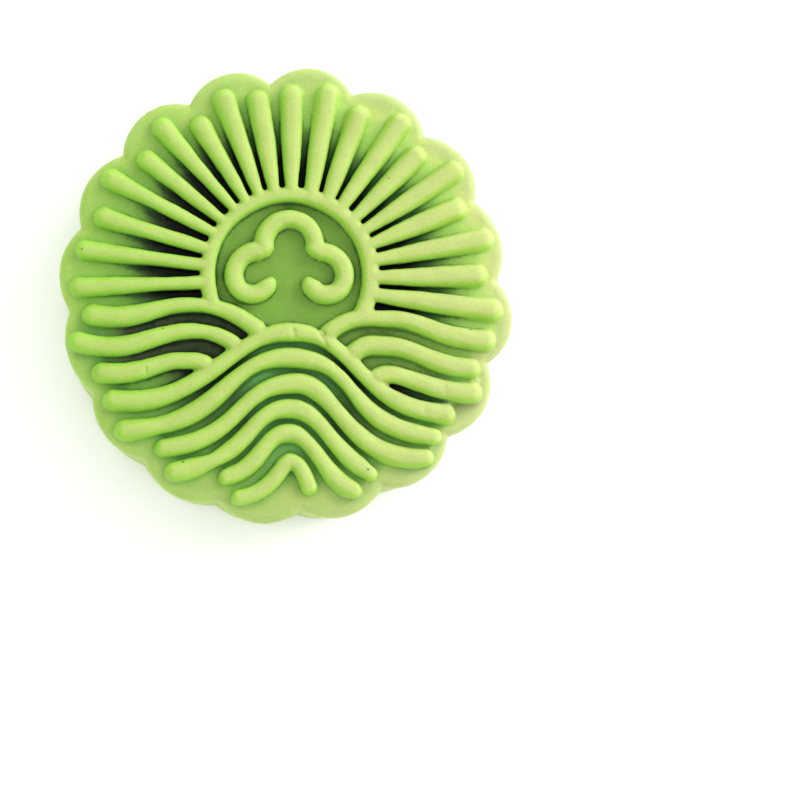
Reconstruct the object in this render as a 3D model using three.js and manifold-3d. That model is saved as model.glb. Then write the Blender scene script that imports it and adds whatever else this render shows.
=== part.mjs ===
// Pressed mooncake: a round cake with a scalloped side, its top pressed in relief with a sun, its rays,
// nested hills and a cloud. One solid of dough on its flat base. Units mm, +Z up, +Y towards the rays.
import * as THREE from "three";
import { mergeVertices } from "three/addons/utils/BufferGeometryUtils.js";
import Module from "manifold-3d";

// ---- driving dimensions: the body ----
const HEIGHT = 26; // base to the tops of the ridges
const SHOULDER = 23.6; // level of the plain rim, outside the ridges
const LOBES = 16; // scallops round the side
const LOBE_STEPS = 8; // facets along one scallop
const NOTCH_RADIUS = 35.25; // axis to the bottom of the notches
const NOTCH_TURN = 4.4; // degrees, direction of the first notch
const CROWN_RADIUS = 37.6; // axis to the crown of a scallop
// Pressed by hand: each crown stands out more or less, from the first notch round.
const CROWN_SWELL = [-0.6, 0.1, 0.3, 0.6, 0.5, 0.4, -0.2, -0.4, -0.6, -0.2, 0, 0, 0, 0.1, 0.2, 0.2];
const MOULD_CENTRE = [-0.18, -0.26, 0]; // axis of the mould, with the origin in the middle of the cake's box
const RIM_ROUND = 1.85; // soft top edge
const RIM_BEVELS = [0, 32, 62, 90]; // degrees round it
const FOOT_ROUND = 1.3; // soft bottom edge
const FOOT_BEVELS = [90, 45, 0];
const FOOT_FILL = 0.4; // share of a notch that is filled at the foot
const SLUMP_LEVEL = 8; // up to here the dough has slumped
const SLUMP_FILL = 0.14; // share of a notch that is filled there
const BOWL_RIM = 32.5; // the ground between the ridges dips from here
const BOWL_FLAT = 16; // to here
const BOWL_DEPTH = 1.6; // by this much
const BOWL_STEPS = 2; // facets down its slope
const BOWL_SIDES = 56; // facets round it

// ---- driving dimensions: the relief, in the frame of the carved stamp ----
const STAMP_OFFSET = [-0.1, -0.25]; // the stamp sits a little off the mould's axis
const STAMP_SCALE = 0.994; // its pattern is a little smaller in the dough than in the wood
const SUN = [0.6, 3.4]; // middle of the sun
const RING_RADIUS = 13.4;
const RING_ENDS = [-29, 201]; // degrees
const RING_WIDTHS = [3.15, 3.1, 2.85, 2.6, 2.7]; // evenly spaced along it
const SUN_GROUND = 23.3; // level inside the ring
const SUN_FOOT = [[-8, -4.4], [-3, -7], [1, -6], [5, -7], [9, -5.2]]; // that ground ends under the hills

const RAYS = 19;
const RAY_INNER = 13.7; // rays start inside the ring, distance from the sun's middle
const RAY_FOOT_FAN = [185.2, -11.05]; // directions at the ring: first and step, degrees
// Directions at the tips: first, step and count of each fan. The lowest rays lie nearer to their neighbours.
const RAY_TIP_FANS = [[182.4, 0, 1], [173.6, -10.7, 11], [53.0, -10.67, 6], [-9.0, 0, 1]];
// Carved by hand: how far each foot and tip is turned from its place, degrees, and how far each tip reaches.
const FOOT_SWAY = [-0.5, -1, -1, -1.5, -0.5, -0.5, 1.5, 3, 3.5, 3, 1, 0, 0.5, 0.3, 1.2, 2.3, 2.5, 2, 1.4];
const TIP_SWAY = [1, -0.5, 0, -0.5, -0.5, 0, 0.5, 1, 1.5, 1.5, 1, 0.5, 1.5, 1.5, 1.5, 1.5, 1, 1, 0];
const RAY_REACH = [
  35.9, 35.3, 33.4, 34.8, 31.8, 33.8, 30.4, 32.9, 31.3, 31.9, 32.8, 30.9, 33.3, 30.8, 34.2, 31.7, 34.6, 32.9,
  35.9,
];
const FOOT_RADIUS = 14.6; // where the feet leave the ring
const FOOT_GAP = 0.6; // groove between two feet
const RAY_TIP_WIDTHS = [3.7, 4.1]; // on the left, on the right
const EARLY_FROM = [3, 8]; // up to the first of these rays they widen late, from the second on at once
const LATE_POWER = 1.6;
const EARLY_POWER = 1.8;
const RAY_SHARES = [0, 0.34, 0.67, 1]; // where the widths are taken

const BAND_WIDTH = 3.8; // widest hill ridge
const NARROWEST_BAND = 2.4;
const GROOVE = 0.6; // between two hills
const END_GROOVE = 0.42; // the same past CLOSING_RADIUS
const CLOSING_RADIUS = 30;
// A hill has a level peak and falls to an end on either side: end x, end y, pull at the peak, pull at the
// end, angle at the end in degrees.
const BIG_HILLS = [
  { peak: [0.7, -5.8], left: [-29.9, -16.8, 10, 16, 11], right: [28.2, -19.2, 11.8, 17, 0] },
  { peak: [0.5, -10.0], left: [-28.0, -22.0, 11.2, 19, 0], right: [25.8, -23.0, 12.9, 17.2, -3] },
  { peak: [1.9, -14.2], left: [-21.4, -25.0, 10.4, 14.8, -3], right: [24.5, -26.2, 6.7, 14.3, 9.5] },
  { peak: [0.5, -18.4], left: [-19.8, -28.9, 7.2, 14.9, -5.5], right: [15.1, -29.7, 5.9, 9.6, -27.5] },
  { peak: [0.6, -22.4], left: [-11.0, -29.9, 4.7, 7.7, -9], right: [12.7, -31.8, 4.4, 5.7, 4] },
];
const OUTERMOST_WIDTHS = [3.9, 3.7, 3.1, 2.8, 2.7, 3.4, 2.7, 2.5, 2.7, 3.3, 3.9];
// The innermost hill is two legs that lean on each other. Each starts a little past the peak.
const INNERMOST = { peak: [0.7, -26.9], left: [-9.0, -33.0, 1.2, 7, 0], right: [4.3, -32.6, 1.8, 2.5, -75] };
const INNERMOST_WIDTH = 2.9;
const PAST_PEAK = [1.3, -0.3];
// The far hills behind the big one, from the top down. Their inner ends butt against it.
const LEFT_HILLS = [
  { peak: [-15.7, -1.4], left: [-33.2, -2.9, 6.5, 9.3, 12], right: [-3.6, -6.3, 3.8, 6.1, -42] },
  { peak: [-15.1, -5.7], left: [-35.4, -7.1, 6.9, 10.7, 19], right: [-7.5, -8.6, 2.1, 3.6, -43] },
  { peak: [-17.2, -10.6], left: [-31.7, -12.3, 3.6, 7.3, 13], right: [-12.0, -11.8, 2.0, 2.6, -36] },
];
const LEFT_WIDTHS = [
  [3.9, 3.6, 2.8, 2.4, 3.1, 3.3],
  [3.7, 3.5, 2.9, 2.6, 2.8, 3.0],
  [3.7, 3.5, 3.1, 2.9, 2.9, 2.9],
];
const RIGHT_HILLS = [
  { peak: [17.1, -3.5], left: [5.9, -6.8, 4.8, 6.4, -41], right: [34.9, -7.0, 5.6, 10.5, 0] },
  { peak: [16.3, -8.0], left: [10.2, -10.2, 2.1, 3.9, -49], right: [32.3, -11.8, 5.9, 9.0, -1] },
  { peak: [17.4, -12.7], left: [14.0, -14.0, 2.1, 1.5, -40], right: [32.7, -15.4, 3.0, 6.4, 13] },
];
const RIGHT_WIDTHS = [
  [3.2, 3.1, 2.8, 3.0, 3.4, 3.8],
  [3.2, 3.5, 3.4, 3.4, 3.5, 3.6],
  [2.9, 3.1, 3.2, 3.2, 3.6, 4.1],
];
// A low ridge shuts each groove on the right where, near the rim, two hills come close.
const FILL_WIDTH = 1.6;
const FILL_FROM = 26.5; // not nearer to the axis than this
const SHUT_GAP = 0.45; // a gap of this or less is shut up to the first level of FILL_CREST
const OPEN_GAP = 0.85; // at this gap the fill has sunk to the second
const FILL_CREST = [24.1, 22.2];
const FILL_STEPS = 6; // fine points between two of its stations

// The cloud in the sun: a top lobe over two side lobes that curl inwards, degrees and mm.
const CLOUD_WIDTH = 3.3;
const CLOUD_AXIS = 0.6;
const TOP_LOBE = { y: 8.7, radius: 4.2, from: -32, to: 212 };
const CURL = { x: 5.2, y: 3.6, from: 116, closesFrom: -40, to: -172, radius: 3.9, lastRadius: 1.7 };
const CURL_STEPS = 15;

// ---- driving dimensions: the section of a ridge, a round cap on two upright walls ----
const CAP_ANGLES = [0, 26, 52, 77, 103, 128, 154, 180]; // degrees round the cap
const CAP_POWER = 2.15; // 2 is a half circle, more is fuller
const DOME_ANGLES = [20, 52]; // degrees round a domed end
const SUNK = 19.5; // underside of every ridge, inside the cake
const SHORTEST_STEP = 0.15; // stations nearer than this are left out
const LOOK_AHEAD = 0.4; // half the stretch over which a path's direction is taken
const HILL_STEP = 3.4; // length of a facet along a hill
const RING_STEP = 2.3; // the same along the ring
const LOBE_STEP = 1.7; // the same along the cloud
const FINE_STEP = 0.3; // spacing of the points that distances are taken to

// ---- helpers ----
const rad = THREE.MathUtils.degToRad;
const lerp = THREE.MathUtils.lerp;
const polar = ([x, y], radius, deg) =>
  new THREE.Vector2(x + radius * Math.cos(rad(deg)), y + radius * Math.sin(rad(deg)));

// The value at a share of the way along evenly spaced values.
function along(values, share) {
  const at = share * (values.length - 1);
  const i = Math.min(Math.floor(at), values.length - 2);
  return lerp(values[i], values[i + 1], at - i);
}

// Radius of the scalloped outline: each lobe is an arc through two notches and its crown.
function outlineRadius(angle) {
  const half = Math.PI / LOBES;
  const turn = angle - rad(NOTCH_TURN);
  const lobe = Math.floor(turn / (2 * half));
  const crown = CROWN_RADIUS + CROWN_SWELL[lobe % LOBES];
  const rise = crown - NOTCH_RADIUS * Math.cos(half);
  const bend = ((NOTCH_RADIUS * Math.sin(half)) ** 2 + rise ** 2) / (2 * rise);
  const middle = crown - bend;
  const offCrown = turn - (lobe + 0.5) * 2 * half;
  return middle * Math.cos(offCrown) + Math.sqrt(bend ** 2 - (middle * Math.sin(offCrown)) ** 2);
}

// Closed body from a stack of equal loops: neighbouring loops are joined, the first and last are capped.
function loft(loops) {
  const count = loops[0].length;
  const index = [];
  for (let i = 0; i + 1 < loops.length; i++) {
    for (let k = 0; k < count; k++) {
      const a = i * count + k;
      const b = i * count + ((k + 1) % count);
      index.push(a, b, b + count, a, b + count, a + count);
    }
  }
  const last = (loops.length - 1) * count;
  for (let k = 1; k + 1 < count; k++) {
    index.push(0, k + 1, k);
    index.push(last, last + k, last + k + 1);
  }
  const geometry = new THREE.BufferGeometry();
  geometry.setFromPoints(loops.flat());
  geometry.setIndex(index);
  return geometry;
}

const SAME_CORNER = 1e-4; // corners nearer than this are one
const wasm = await Module();
wasm.setup();
function solidOf(geometry) {
  geometry.deleteAttribute("normal");
  geometry.deleteAttribute("uv");
  const merged = mergeVertices(geometry, SAME_CORNER);
  const solid = new wasm.Manifold(
    new wasm.Mesh({
      numProp: 3,
      vertProperties: merged.attributes.position.array,
      triVerts: new Uint32Array(merged.index.array),
    }),
  );
  if (solid.volume() < 0) throw new Error("inside out");
  return solid;
}

// From the stamp's frame to the cake's.
const stamped = (path) =>
  path.map((p) => p.clone().multiplyScalar(STAMP_SCALE).add(new THREE.Vector2(...STAMP_OFFSET)));

// A ridge along a path of the stamp. Its width may change along the way. A domed end is round, another plain.
const squared = (v) => Math.sign(v) * Math.abs(v) ** (2 / CAP_POWER);
const CAP_TOP = squared(Math.max(...CAP_ANGLES.map((deg) => Math.sin(rad(deg))))); // facets reach the crest
function ridge(stampPath, widthAt, domed, crestAt = () => HEIGHT) {
  const path = stamped(stampPath);
  const run = [0];
  for (let i = 1; i < path.length; i++) run.push(run[i - 1] + path[i].distanceTo(path[i - 1]));
  const whole = run[run.length - 1];
  const pointAt = (s) => {
    let i = 1;
    while (i < path.length - 1 && run[i] < s) i++;
    return path[i - 1].clone().lerp(path[i], (s - run[i - 1]) / (run[i] - run[i - 1]));
  };
  const start = domed[0] ? widthAt(0) / 2 : 0;
  const stop = domed[1] ? widthAt(1) / 2 : 0;
  const stations = [];
  const dome = (deg) => ({ off: 1 - Math.cos(rad(deg)), wide: Math.sin(rad(deg)) });
  if (domed[0]) stations.push(...DOME_ANGLES.map(dome).map(({ off, wide }) => ({ s: start * off, wide })));
  stations.push({ s: start, wide: 1 });
  for (const s of run) if (s > start && s < whole - stop) stations.push({ s, wide: 1 });
  stations.push({ s: whole - stop, wide: 1 });
  if (domed[1]) {
    const tips = DOME_ANGLES.map(dome).reverse();
    stations.push(...tips.map(({ off, wide }) => ({ s: whole - stop * off, wide })));
  }
  const kept = stations.filter(({ s }, i) => i === 0 || s - stations[i - 1].s > SHORTEST_STEP);
  const loops = kept.map(({ s, wide }) => {
    const p = pointAt(s);
    const before = pointAt(Math.max(0, s - LOOK_AHEAD));
    const ahead = pointAt(Math.min(whole, s + LOOK_AHEAD)).sub(before).normalize();
    const half = widthAt(s / whole) / 2;
    const corner = (u, z) => new THREE.Vector3(p.x - ahead.y * u, p.y + ahead.x * u, z);
    const loop = CAP_ANGLES.map((deg) => {
      const rise = (wide * squared(Math.sin(rad(deg)))) / CAP_TOP;
      return corner(half * wide * squared(Math.cos(rad(deg))), crestAt(s / whole) - half * (1 - rise));
    });
    return [...loop, corner(-half * wide, SUNK), corner(half * wide, SUNK)];
  });
  return solidOf(loft(loops));
}

const arc = (centre, radius, [from, to], step) => {
  const count = Math.ceil((Math.abs(rad(to - from)) * radius) / step);
  return Array.from({ length: count + 1 }, (_, i) => polar(centre, radius, lerp(from, to, i / count)));
};

// One flank of a hill as a cubic curve from its peak to an end.
function flank(peak, [x, y, pullPeak, pullEnd, fall], step) {
  const out = Math.sign(x - peak[0]);
  const curve = new THREE.CubicBezierCurve(
    new THREE.Vector2(...peak),
    new THREE.Vector2(peak[0] + out * pullPeak, peak[1]),
    new THREE.Vector2(x - out * pullEnd * Math.cos(rad(fall)), y - pullEnd * Math.sin(rad(fall))),
    new THREE.Vector2(x, y),
  );
  return curve.getSpacedPoints(Math.ceil(curve.getLength() / step));
}
const hill = ({ peak, left, right }, step = HILL_STEP) => [
  ...flank(peak, left, step).reverse(),
  ...flank(peak, right, step).slice(1),
];
const withWidths = (path, widths) => path.map((p, i) => ({ p, width: along(widths, i / (path.length - 1)) }));
const nearestTo = (p, points) =>
  points.reduce((best, q) => (p.distanceToSquared(q) < p.distanceToSquared(best) ? q : best));

// ---- the body: scalloped, with soft edges, and a shallow bowl in its top ----
const side = [
  ...FOOT_BEVELS.map((deg) => ({
    inset: FOOT_ROUND * (1 - Math.cos(rad(deg))),
    z: FOOT_ROUND * (1 - Math.sin(rad(deg))),
    fill: FOOT_FILL,
  })),
  { inset: 0, z: SLUMP_LEVEL, fill: SLUMP_FILL },
  ...RIM_BEVELS.map((deg) => ({
    inset: RIM_ROUND * (1 - Math.cos(rad(deg))),
    z: SHOULDER - RIM_ROUND * (1 - Math.sin(rad(deg))),
    fill: 0,
  })),
];
const sideLoops = side.map(({ inset, z, fill }) =>
  Array.from({ length: LOBES * LOBE_STEPS }, (_, i) => {
    const turn = (2 * Math.PI * i) / (LOBES * LOBE_STEPS);
    const radius = lerp(outlineRadius(turn + rad(NOTCH_TURN)), CROWN_RADIUS, fill) - inset;
    const place = polar([0, 0], radius, THREE.MathUtils.radToDeg(turn) + NOTCH_TURN);
    return new THREE.Vector3(place.x, place.y, z);
  }),
);
let cake = solidOf(loft(sideLoops));

const bowlProfile = [new THREE.Vector2(0, SHOULDER - BOWL_DEPTH)];
for (let i = BOWL_STEPS; i >= 0; i--) {
  const share = i / BOWL_STEPS;
  const fall = (share + THREE.MathUtils.smoothstep(share, 0, 1)) / 2;
  bowlProfile.push(new THREE.Vector2(lerp(BOWL_RIM, BOWL_FLAT, share), SHOULDER - BOWL_DEPTH * fall));
}
bowlProfile.push(new THREE.Vector2(BOWL_RIM, HEIGHT), new THREE.Vector2(0, HEIGHT));
const bowl = new THREE.LatheGeometry(bowlProfile, BOWL_SIDES);
bowl.rotateX(Math.PI / 2);
cake = cake.subtract(solidOf(bowl));

// ---- the sun: its ground, then its ring ----
const ringPath = arc(SUN, RING_RADIUS, RING_ENDS, RING_STEP);
const sunEdge = stamped([...ringPath, ...SUN_FOOT.map(([x, y]) => new THREE.Vector2(x, y))]);
const sunLoops = [SUNK, SUN_GROUND].map((z) => sunEdge.map(({ x, y }) => new THREE.Vector3(x, y, z)));
cake = cake.add(solidOf(loft(sunLoops)));
cake = cake.add(ridge(ringPath, (share) => along(RING_WIDTHS, share), [false, false]));

// ---- the rays: straight ridges that widen towards the rim and end in a dome ----
const footTurns = FOOT_SWAY.map((sway, k) => RAY_FOOT_FAN[0] + k * RAY_FOOT_FAN[1] + sway);
const tipTurns = RAY_TIP_FANS.flatMap(([first, step, count]) =>
  Array.from({ length: count }, (_, i) => first + i * step),
).map((turn, k) => turn + TIP_SWAY[k]);
for (let k = 0; k < RAYS; k++) {
  const toBefore = k > 0 ? footTurns[k - 1] - footTurns[k] : Infinity;
  const toNext = k + 1 < RAYS ? footTurns[k] - footTurns[k + 1] : Infinity;
  const footWidth = FOOT_RADIUS * rad(Math.min(toBefore, toNext)) - FOOT_GAP;
  const tipWidth = lerp(RAY_TIP_WIDTHS[0], RAY_TIP_WIDTHS[1], Math.min(1, k / EARLY_FROM[1]));
  const early = THREE.MathUtils.clamp((k - EARLY_FROM[0]) / (EARLY_FROM[1] - EARLY_FROM[0]), 0, 1);
  const widthAt = (out) =>
    lerp(footWidth, tipWidth, lerp(out ** LATE_POWER, 1 - (1 - out) ** EARLY_POWER, early));
  const foot = polar(SUN, RAY_INNER, footTurns[k]);
  const tip = polar(SUN, RAY_REACH[k], tipTurns[k]);
  const path = RAY_SHARES.map((share) => foot.clone().lerp(tip, share));
  cake = cake.add(ridge(path, widthAt, [false, true]));
}

// ---- the big hills: the outermost has its own widths, the others leave one groove free ----
const finePaths = BIG_HILLS.map((h) => hill(h, FINE_STEP));
function roomFor(k) {
  const beside = finePaths.filter((_, i) => Math.abs(i - k) === 1).flat();
  return hill(BIG_HILLS[k]).map((p) => {
    const groove = p.length() < CLOSING_RADIUS ? GROOVE : END_GROOVE;
    const room = nearestTo(p, beside).distanceTo(p) - groove;
    return THREE.MathUtils.clamp(room, NARROWEST_BAND, BAND_WIDTH);
  });
}
const bigWidths = BIG_HILLS.map((_, k) => (k === 0 ? OUTERMOST_WIDTHS : roomFor(k)));
BIG_HILLS.forEach((h, k) => {
  cake = cake.add(ridge(hill(h), (share) => along(bigWidths[k], share), [true, true]));
});
for (const leg of [INNERMOST.left, INNERMOST.right]) {
  const [x, y] = INNERMOST.peak;
  const past = new THREE.Vector2(x - Math.sign(leg[0] - x) * PAST_PEAK[0], y + PAST_PEAK[1]);
  const path = [past, ...flank(INNERMOST.peak, leg, LOBE_STEP)];
  cake = cake.add(ridge(path, () => INNERMOST_WIDTH, [true, true]));
}

// ---- the far hills ----
[...LEFT_HILLS, ...RIGHT_HILLS].forEach((h, k) => {
  const widths = [...LEFT_WIDTHS, ...RIGHT_WIDTHS][k];
  cake = cake.add(ridge(hill(h), (share) => along(widths, share), [true, true]));
});

// ---- the shut ends of the grooves: low ridges midway between two hills ----
const [, ...lowerRight] = RIGHT_HILLS.map((h, k) => withWidths(hill(h, FINE_STEP), RIGHT_WIDTHS[k]));
const rightSide = [...lowerRight, ...finePaths.map((path, k) => withWidths(path, bigWidths[k]))];
rightSide.slice(1).forEach((lower, i) => {
  const narrow = lower
    .map(({ p, width }) => {
      const facing = rightSide[i].reduce((best, q) => (p.distanceTo(q.p) < p.distanceTo(best.p) ? q : best));
      const gap = p.distanceTo(facing.p) - (width + facing.width) / 2;
      return { middle: p.clone().lerp(facing.p, 0.5), gap };
    })
    .filter(({ middle, gap }) => middle.length() > FILL_FROM && middle.x > 0 && gap < OPEN_GAP)
    .filter((_, k) => k % FILL_STEPS === 0);
  const crests = narrow.map(({ gap }) => {
    const open = THREE.MathUtils.clamp((gap - SHUT_GAP) / (OPEN_GAP - SHUT_GAP), 0, 1);
    return lerp(FILL_CREST[0], FILL_CREST[1], open);
  });
  const path = narrow.map(({ middle }) => middle);
  cake = cake.add(ridge(path, () => FILL_WIDTH, [true, true], (share) => along(crests, share)));
});

// ---- the cloud ----
const topLobe = arc([CLOUD_AXIS, TOP_LOBE.y], TOP_LOBE.radius, [TOP_LOBE.from, TOP_LOBE.to], LOBE_STEP);
cake = cake.add(ridge(topLobe, () => CLOUD_WIDTH, [true, true]));
for (const hand of [1, -1]) {
  const curl = Array.from({ length: CURL_STEPS + 1 }, (_, i) => {
    const deg = lerp(CURL.from, CURL.to, i / CURL_STEPS);
    const closing = Math.max(0, (CURL.closesFrom - deg) / (CURL.closesFrom - CURL.to));
    const place = polar([CURL.x, CURL.y], lerp(CURL.radius, CURL.lastRadius, closing), deg);
    return new THREE.Vector2(CLOUD_AXIS + hand * place.x, place.y);
  });
  cake = cake.add(ridge(curl, () => CLOUD_WIDTH, [true, true]));
}

// ---- one clean solid ----
// The joins leave specks of no size and corners closer than a thousandth: only the cake is kept, with its
// corners on a fine grid and the faces that close up on it dropped.
const GRID = 1e-3;
cake = cake.decompose().sort((a, b) => b.volume() - a.volume())[0].translate(MOULD_CENTRE);
const { numVert, numProp, vertProperties, triVerts } = cake.getMesh();
const corners = [];
const cornerOf = new Map();
const renamed = Array.from({ length: numVert }, (_, i) => {
  const snapped = [0, 1, 2].map((k) => Math.round(vertProperties[i * numProp + k] / GRID));
  const key = snapped.join(" ");
  if (!cornerOf.has(key)) {
    cornerOf.set(key, corners.length / 3);
    corners.push(...snapped.map((v) => v * GRID));
  }
  return cornerOf.get(key);
});
const faces = [];
for (let i = 0; i < triVerts.length; i += 3) {
  const [a, b, c] = [0, 1, 2].map((k) => renamed[triVerts[i + k]]);
  if (a !== b && b !== c && c !== a) faces.push(a, b, c);
}
const geometry = new THREE.BufferGeometry();
geometry.setAttribute("position", new THREE.Float32BufferAttribute(corners, 3));
geometry.setIndex(faces);
geometry.computeVertexNormals();

const green = new THREE.Color().setRGB(0.56, 0.78, 0.33, THREE.SRGBColorSpace);
const dough = new THREE.MeshStandardMaterial({ color: green, roughness: 0.6, metalness: 0 });
const mooncake = new THREE.Mesh(geometry, dough);
mooncake.name = "mooncake";

const group = new THREE.Group();
group.name = "pressed_mooncake";
group.add(mooncake);
export default group;
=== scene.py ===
"""A pressed mooncake: one piece of pale green rice dough, scalloped at the side, with a relief on its top.

The cake is worked out in millimetres round the axis of its mould. Once it is one skin it is moved into the
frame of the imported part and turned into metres.
"""

import bpy
import numpy as np
from mathutils import Matrix, Vector


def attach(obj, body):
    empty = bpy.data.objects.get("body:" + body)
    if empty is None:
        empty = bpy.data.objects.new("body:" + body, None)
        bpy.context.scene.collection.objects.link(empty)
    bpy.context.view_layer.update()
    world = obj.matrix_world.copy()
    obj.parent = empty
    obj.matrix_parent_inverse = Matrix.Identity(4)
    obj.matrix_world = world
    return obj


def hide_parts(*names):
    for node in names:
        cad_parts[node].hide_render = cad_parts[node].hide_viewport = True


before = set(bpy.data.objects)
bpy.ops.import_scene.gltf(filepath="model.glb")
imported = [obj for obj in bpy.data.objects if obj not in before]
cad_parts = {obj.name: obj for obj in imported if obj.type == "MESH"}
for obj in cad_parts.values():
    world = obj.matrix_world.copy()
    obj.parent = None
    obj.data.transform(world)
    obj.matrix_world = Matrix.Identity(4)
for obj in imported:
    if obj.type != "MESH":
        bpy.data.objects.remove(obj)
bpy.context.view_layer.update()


# ---- the body of the cake ----
# A ball of rice dough round a dark bean filling, pressed by hand into a scalloped mould and turned out.
# Its skin runs from the middle of the flat base over the soft foot, up the side, over the soft rim and
# down into the shallow bowl that the stamp leaves in the top.
SHOULDER = 23.6
LOBES = 16
NOTCH_RADIUS = 35.25
NOTCH_TURN = np.radians(4.4)
CROWN_RADIUS = 37.6
# How far each crown stands out past that radius, anticlockwise from the notch at NOTCH_TURN.
CROWN_SWELL = np.array([-0.6, 0.1, 0.3, 0.6, 0.5, 0.4, -0.2, -0.4, -0.6, -0.2, 0, 0, 0, 0.1, 0.2, 0.2])
RIM_ROUND = 1.85
FOOT_ROUND = 1.3
FILL_LEVELS = [FOOT_ROUND, 8.0, SHOULDER - RIM_ROUND]
FILL_SHARES = [0.4, 0.14, 0.0]
BOWL_RIM = 32.5
BOWL_FLAT = 16.0
BOWL_DEPTH = 1.6
COLUMNS_IN_LOBE = 40
EDGE_ROWS = 10
SIDE_ROWS = 60
DISC_ROWS = 90

# Each stretch of dough is kept here as the points and faces of a closed skin of its own.
shells = []


def scalloped_radius(turn):
    """Distance from the axis to the side: each lobe is an arc through two notches and its crown.

    With the crown c and the notch radius n at half a lobe h, the arc has the radius
    q = ((n sin h)^2 + (c - n cos h)^2) / (2 (c - n cos h)) and its middle is c - q from the axis.
    """
    half = np.pi / LOBES
    from_notch = turn - NOTCH_TURN
    lobe = np.floor(from_notch / (2 * half))
    crown = CROWN_RADIUS + CROWN_SWELL[lobe.astype(int) % LOBES]
    rise = crown - NOTCH_RADIUS * np.cos(half)
    bend = ((NOTCH_RADIUS * np.sin(half)) ** 2 + rise**2) / (2 * rise)
    middle = crown - bend
    off_crown = from_notch - (lobe + 0.5) * 2 * half
    return middle * np.cos(off_crown) + np.sqrt(bend**2 - (middle * np.sin(off_crown)) ** 2)


def ground_level(x, y):
    """Height of the ground between the ridges: level at the rim, then a smooth fall of BOWL_DEPTH inwards."""
    share = np.clip((BOWL_RIM - np.hypot(x, y)) / (BOWL_RIM - BOWL_FLAT), 0, 1)
    return SHOULDER - BOWL_DEPTH * (0.5 * share + 0.5 * share * share * (3 - 2 * share))


def close_shell(rings):
    """Keeps a closed skin over rings, an array of rows by columns by 3.

    Every row is a loop. Neighbouring loops are joined by triangles, and the two end loops by fans
    to their own middles.
    """
    rows, columns = rings.shape[:2]
    points = np.vstack([rings.reshape(-1, 3), rings[0].mean(0), rings[-1].mean(0)])
    here = np.arange(rows * columns).reshape(rows, columns)
    beside = np.roll(here, -1, axis=1)
    a, b, c, d = here[:-1].ravel(), beside[:-1].ravel(), beside[1:].ravel(), here[1:].ravel()
    first = np.full(columns, rows * columns)
    faces = np.vstack(
        [
            np.stack([a, b, c], 1),
            np.stack([a, c, d], 1),
            np.stack([first, beside[0], here[0]], 1),
            np.stack([first + 1, here[-1], beside[-1]], 1),
        ]
    )
    shells.append((points, faces))


turn = np.linspace(0, 2 * np.pi, LOBES * COLUMNS_IN_LOBE, endpoint=False)[None, :]
bevel = np.linspace(0, np.pi / 2, EDGE_ROWS)
outline = scalloped_radius(turn)

# The notches are filled a little towards the foot, where the soft dough has slumped.
side_level = np.linspace(FOOT_ROUND, SHOULDER - RIM_ROUND, SIDE_ROWS)[:, None]
side_fill = np.interp(side_level, FILL_LEVELS, FILL_SHARES)
side_radius = outline + (CROWN_RADIUS - outline) * side_fill
foot_radius = side_radius[0] - FOOT_ROUND * (1 - np.sin(bevel[:-1, None]))
foot_level = FOOT_ROUND * (1 - np.cos(bevel[:-1, None]))
rim_radius = outline - RIM_ROUND * (1 - np.cos(bevel[1:, None]))
rim_level = SHOULDER - RIM_ROUND * (1 - np.sin(bevel[1:, None]))
inwards = np.linspace(1, 0.01, DISC_ROWS)[1:, None]
base_radius = inwards[::-1] * foot_radius[0]
top_radius = inwards * rim_radius[-1]

radius = np.vstack([base_radius, foot_radius, side_radius, rim_radius, top_radius])
level = np.vstack([0 * inwards, foot_level, side_level, rim_level, np.zeros((len(inwards), 1))])
x, y = radius * np.cos(turn), radius * np.sin(turn)
z = np.broadcast_to(level, x.shape).copy()
z[-len(inwards):] = ground_level(x[-len(inwards):], y[-len(inwards):])
close_shell(np.stack([x, y, z], 2))


# ---- the sun: its ring, and the ground inside it ----
# The stamp of the mould is a carved disc of its own. Its pattern sits a little off the mould's axis and
# is a little smaller in the dough than in the wood. The sun's edge is a plain round ridge.
HEIGHT = 26.0
STAMP_OFFSET = np.array([-0.1, -0.25])
STAMP_SCALE = 0.994
SUN = np.array([0.6, 3.4])
RING_RADIUS = 13.4
RING_WIDTHS = [3.15, 3.1, 2.85, 2.6, 2.7]
RING_ENDS = np.radians([-29, 201])
SUN_GROUND = 23.3
SUNK = 19.5
CAP_POWER = 2.15
CAP_COLUMNS = 25
DOME_ROWS = 9
ROW_STEP = 0.4


def squared(value):
    """sign(v) |v|^(2 / CAP_POWER): turns the cosine and sine of a half circle into a fuller arch."""
    return np.sign(value) * np.abs(value) ** (2 / CAP_POWER)


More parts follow.
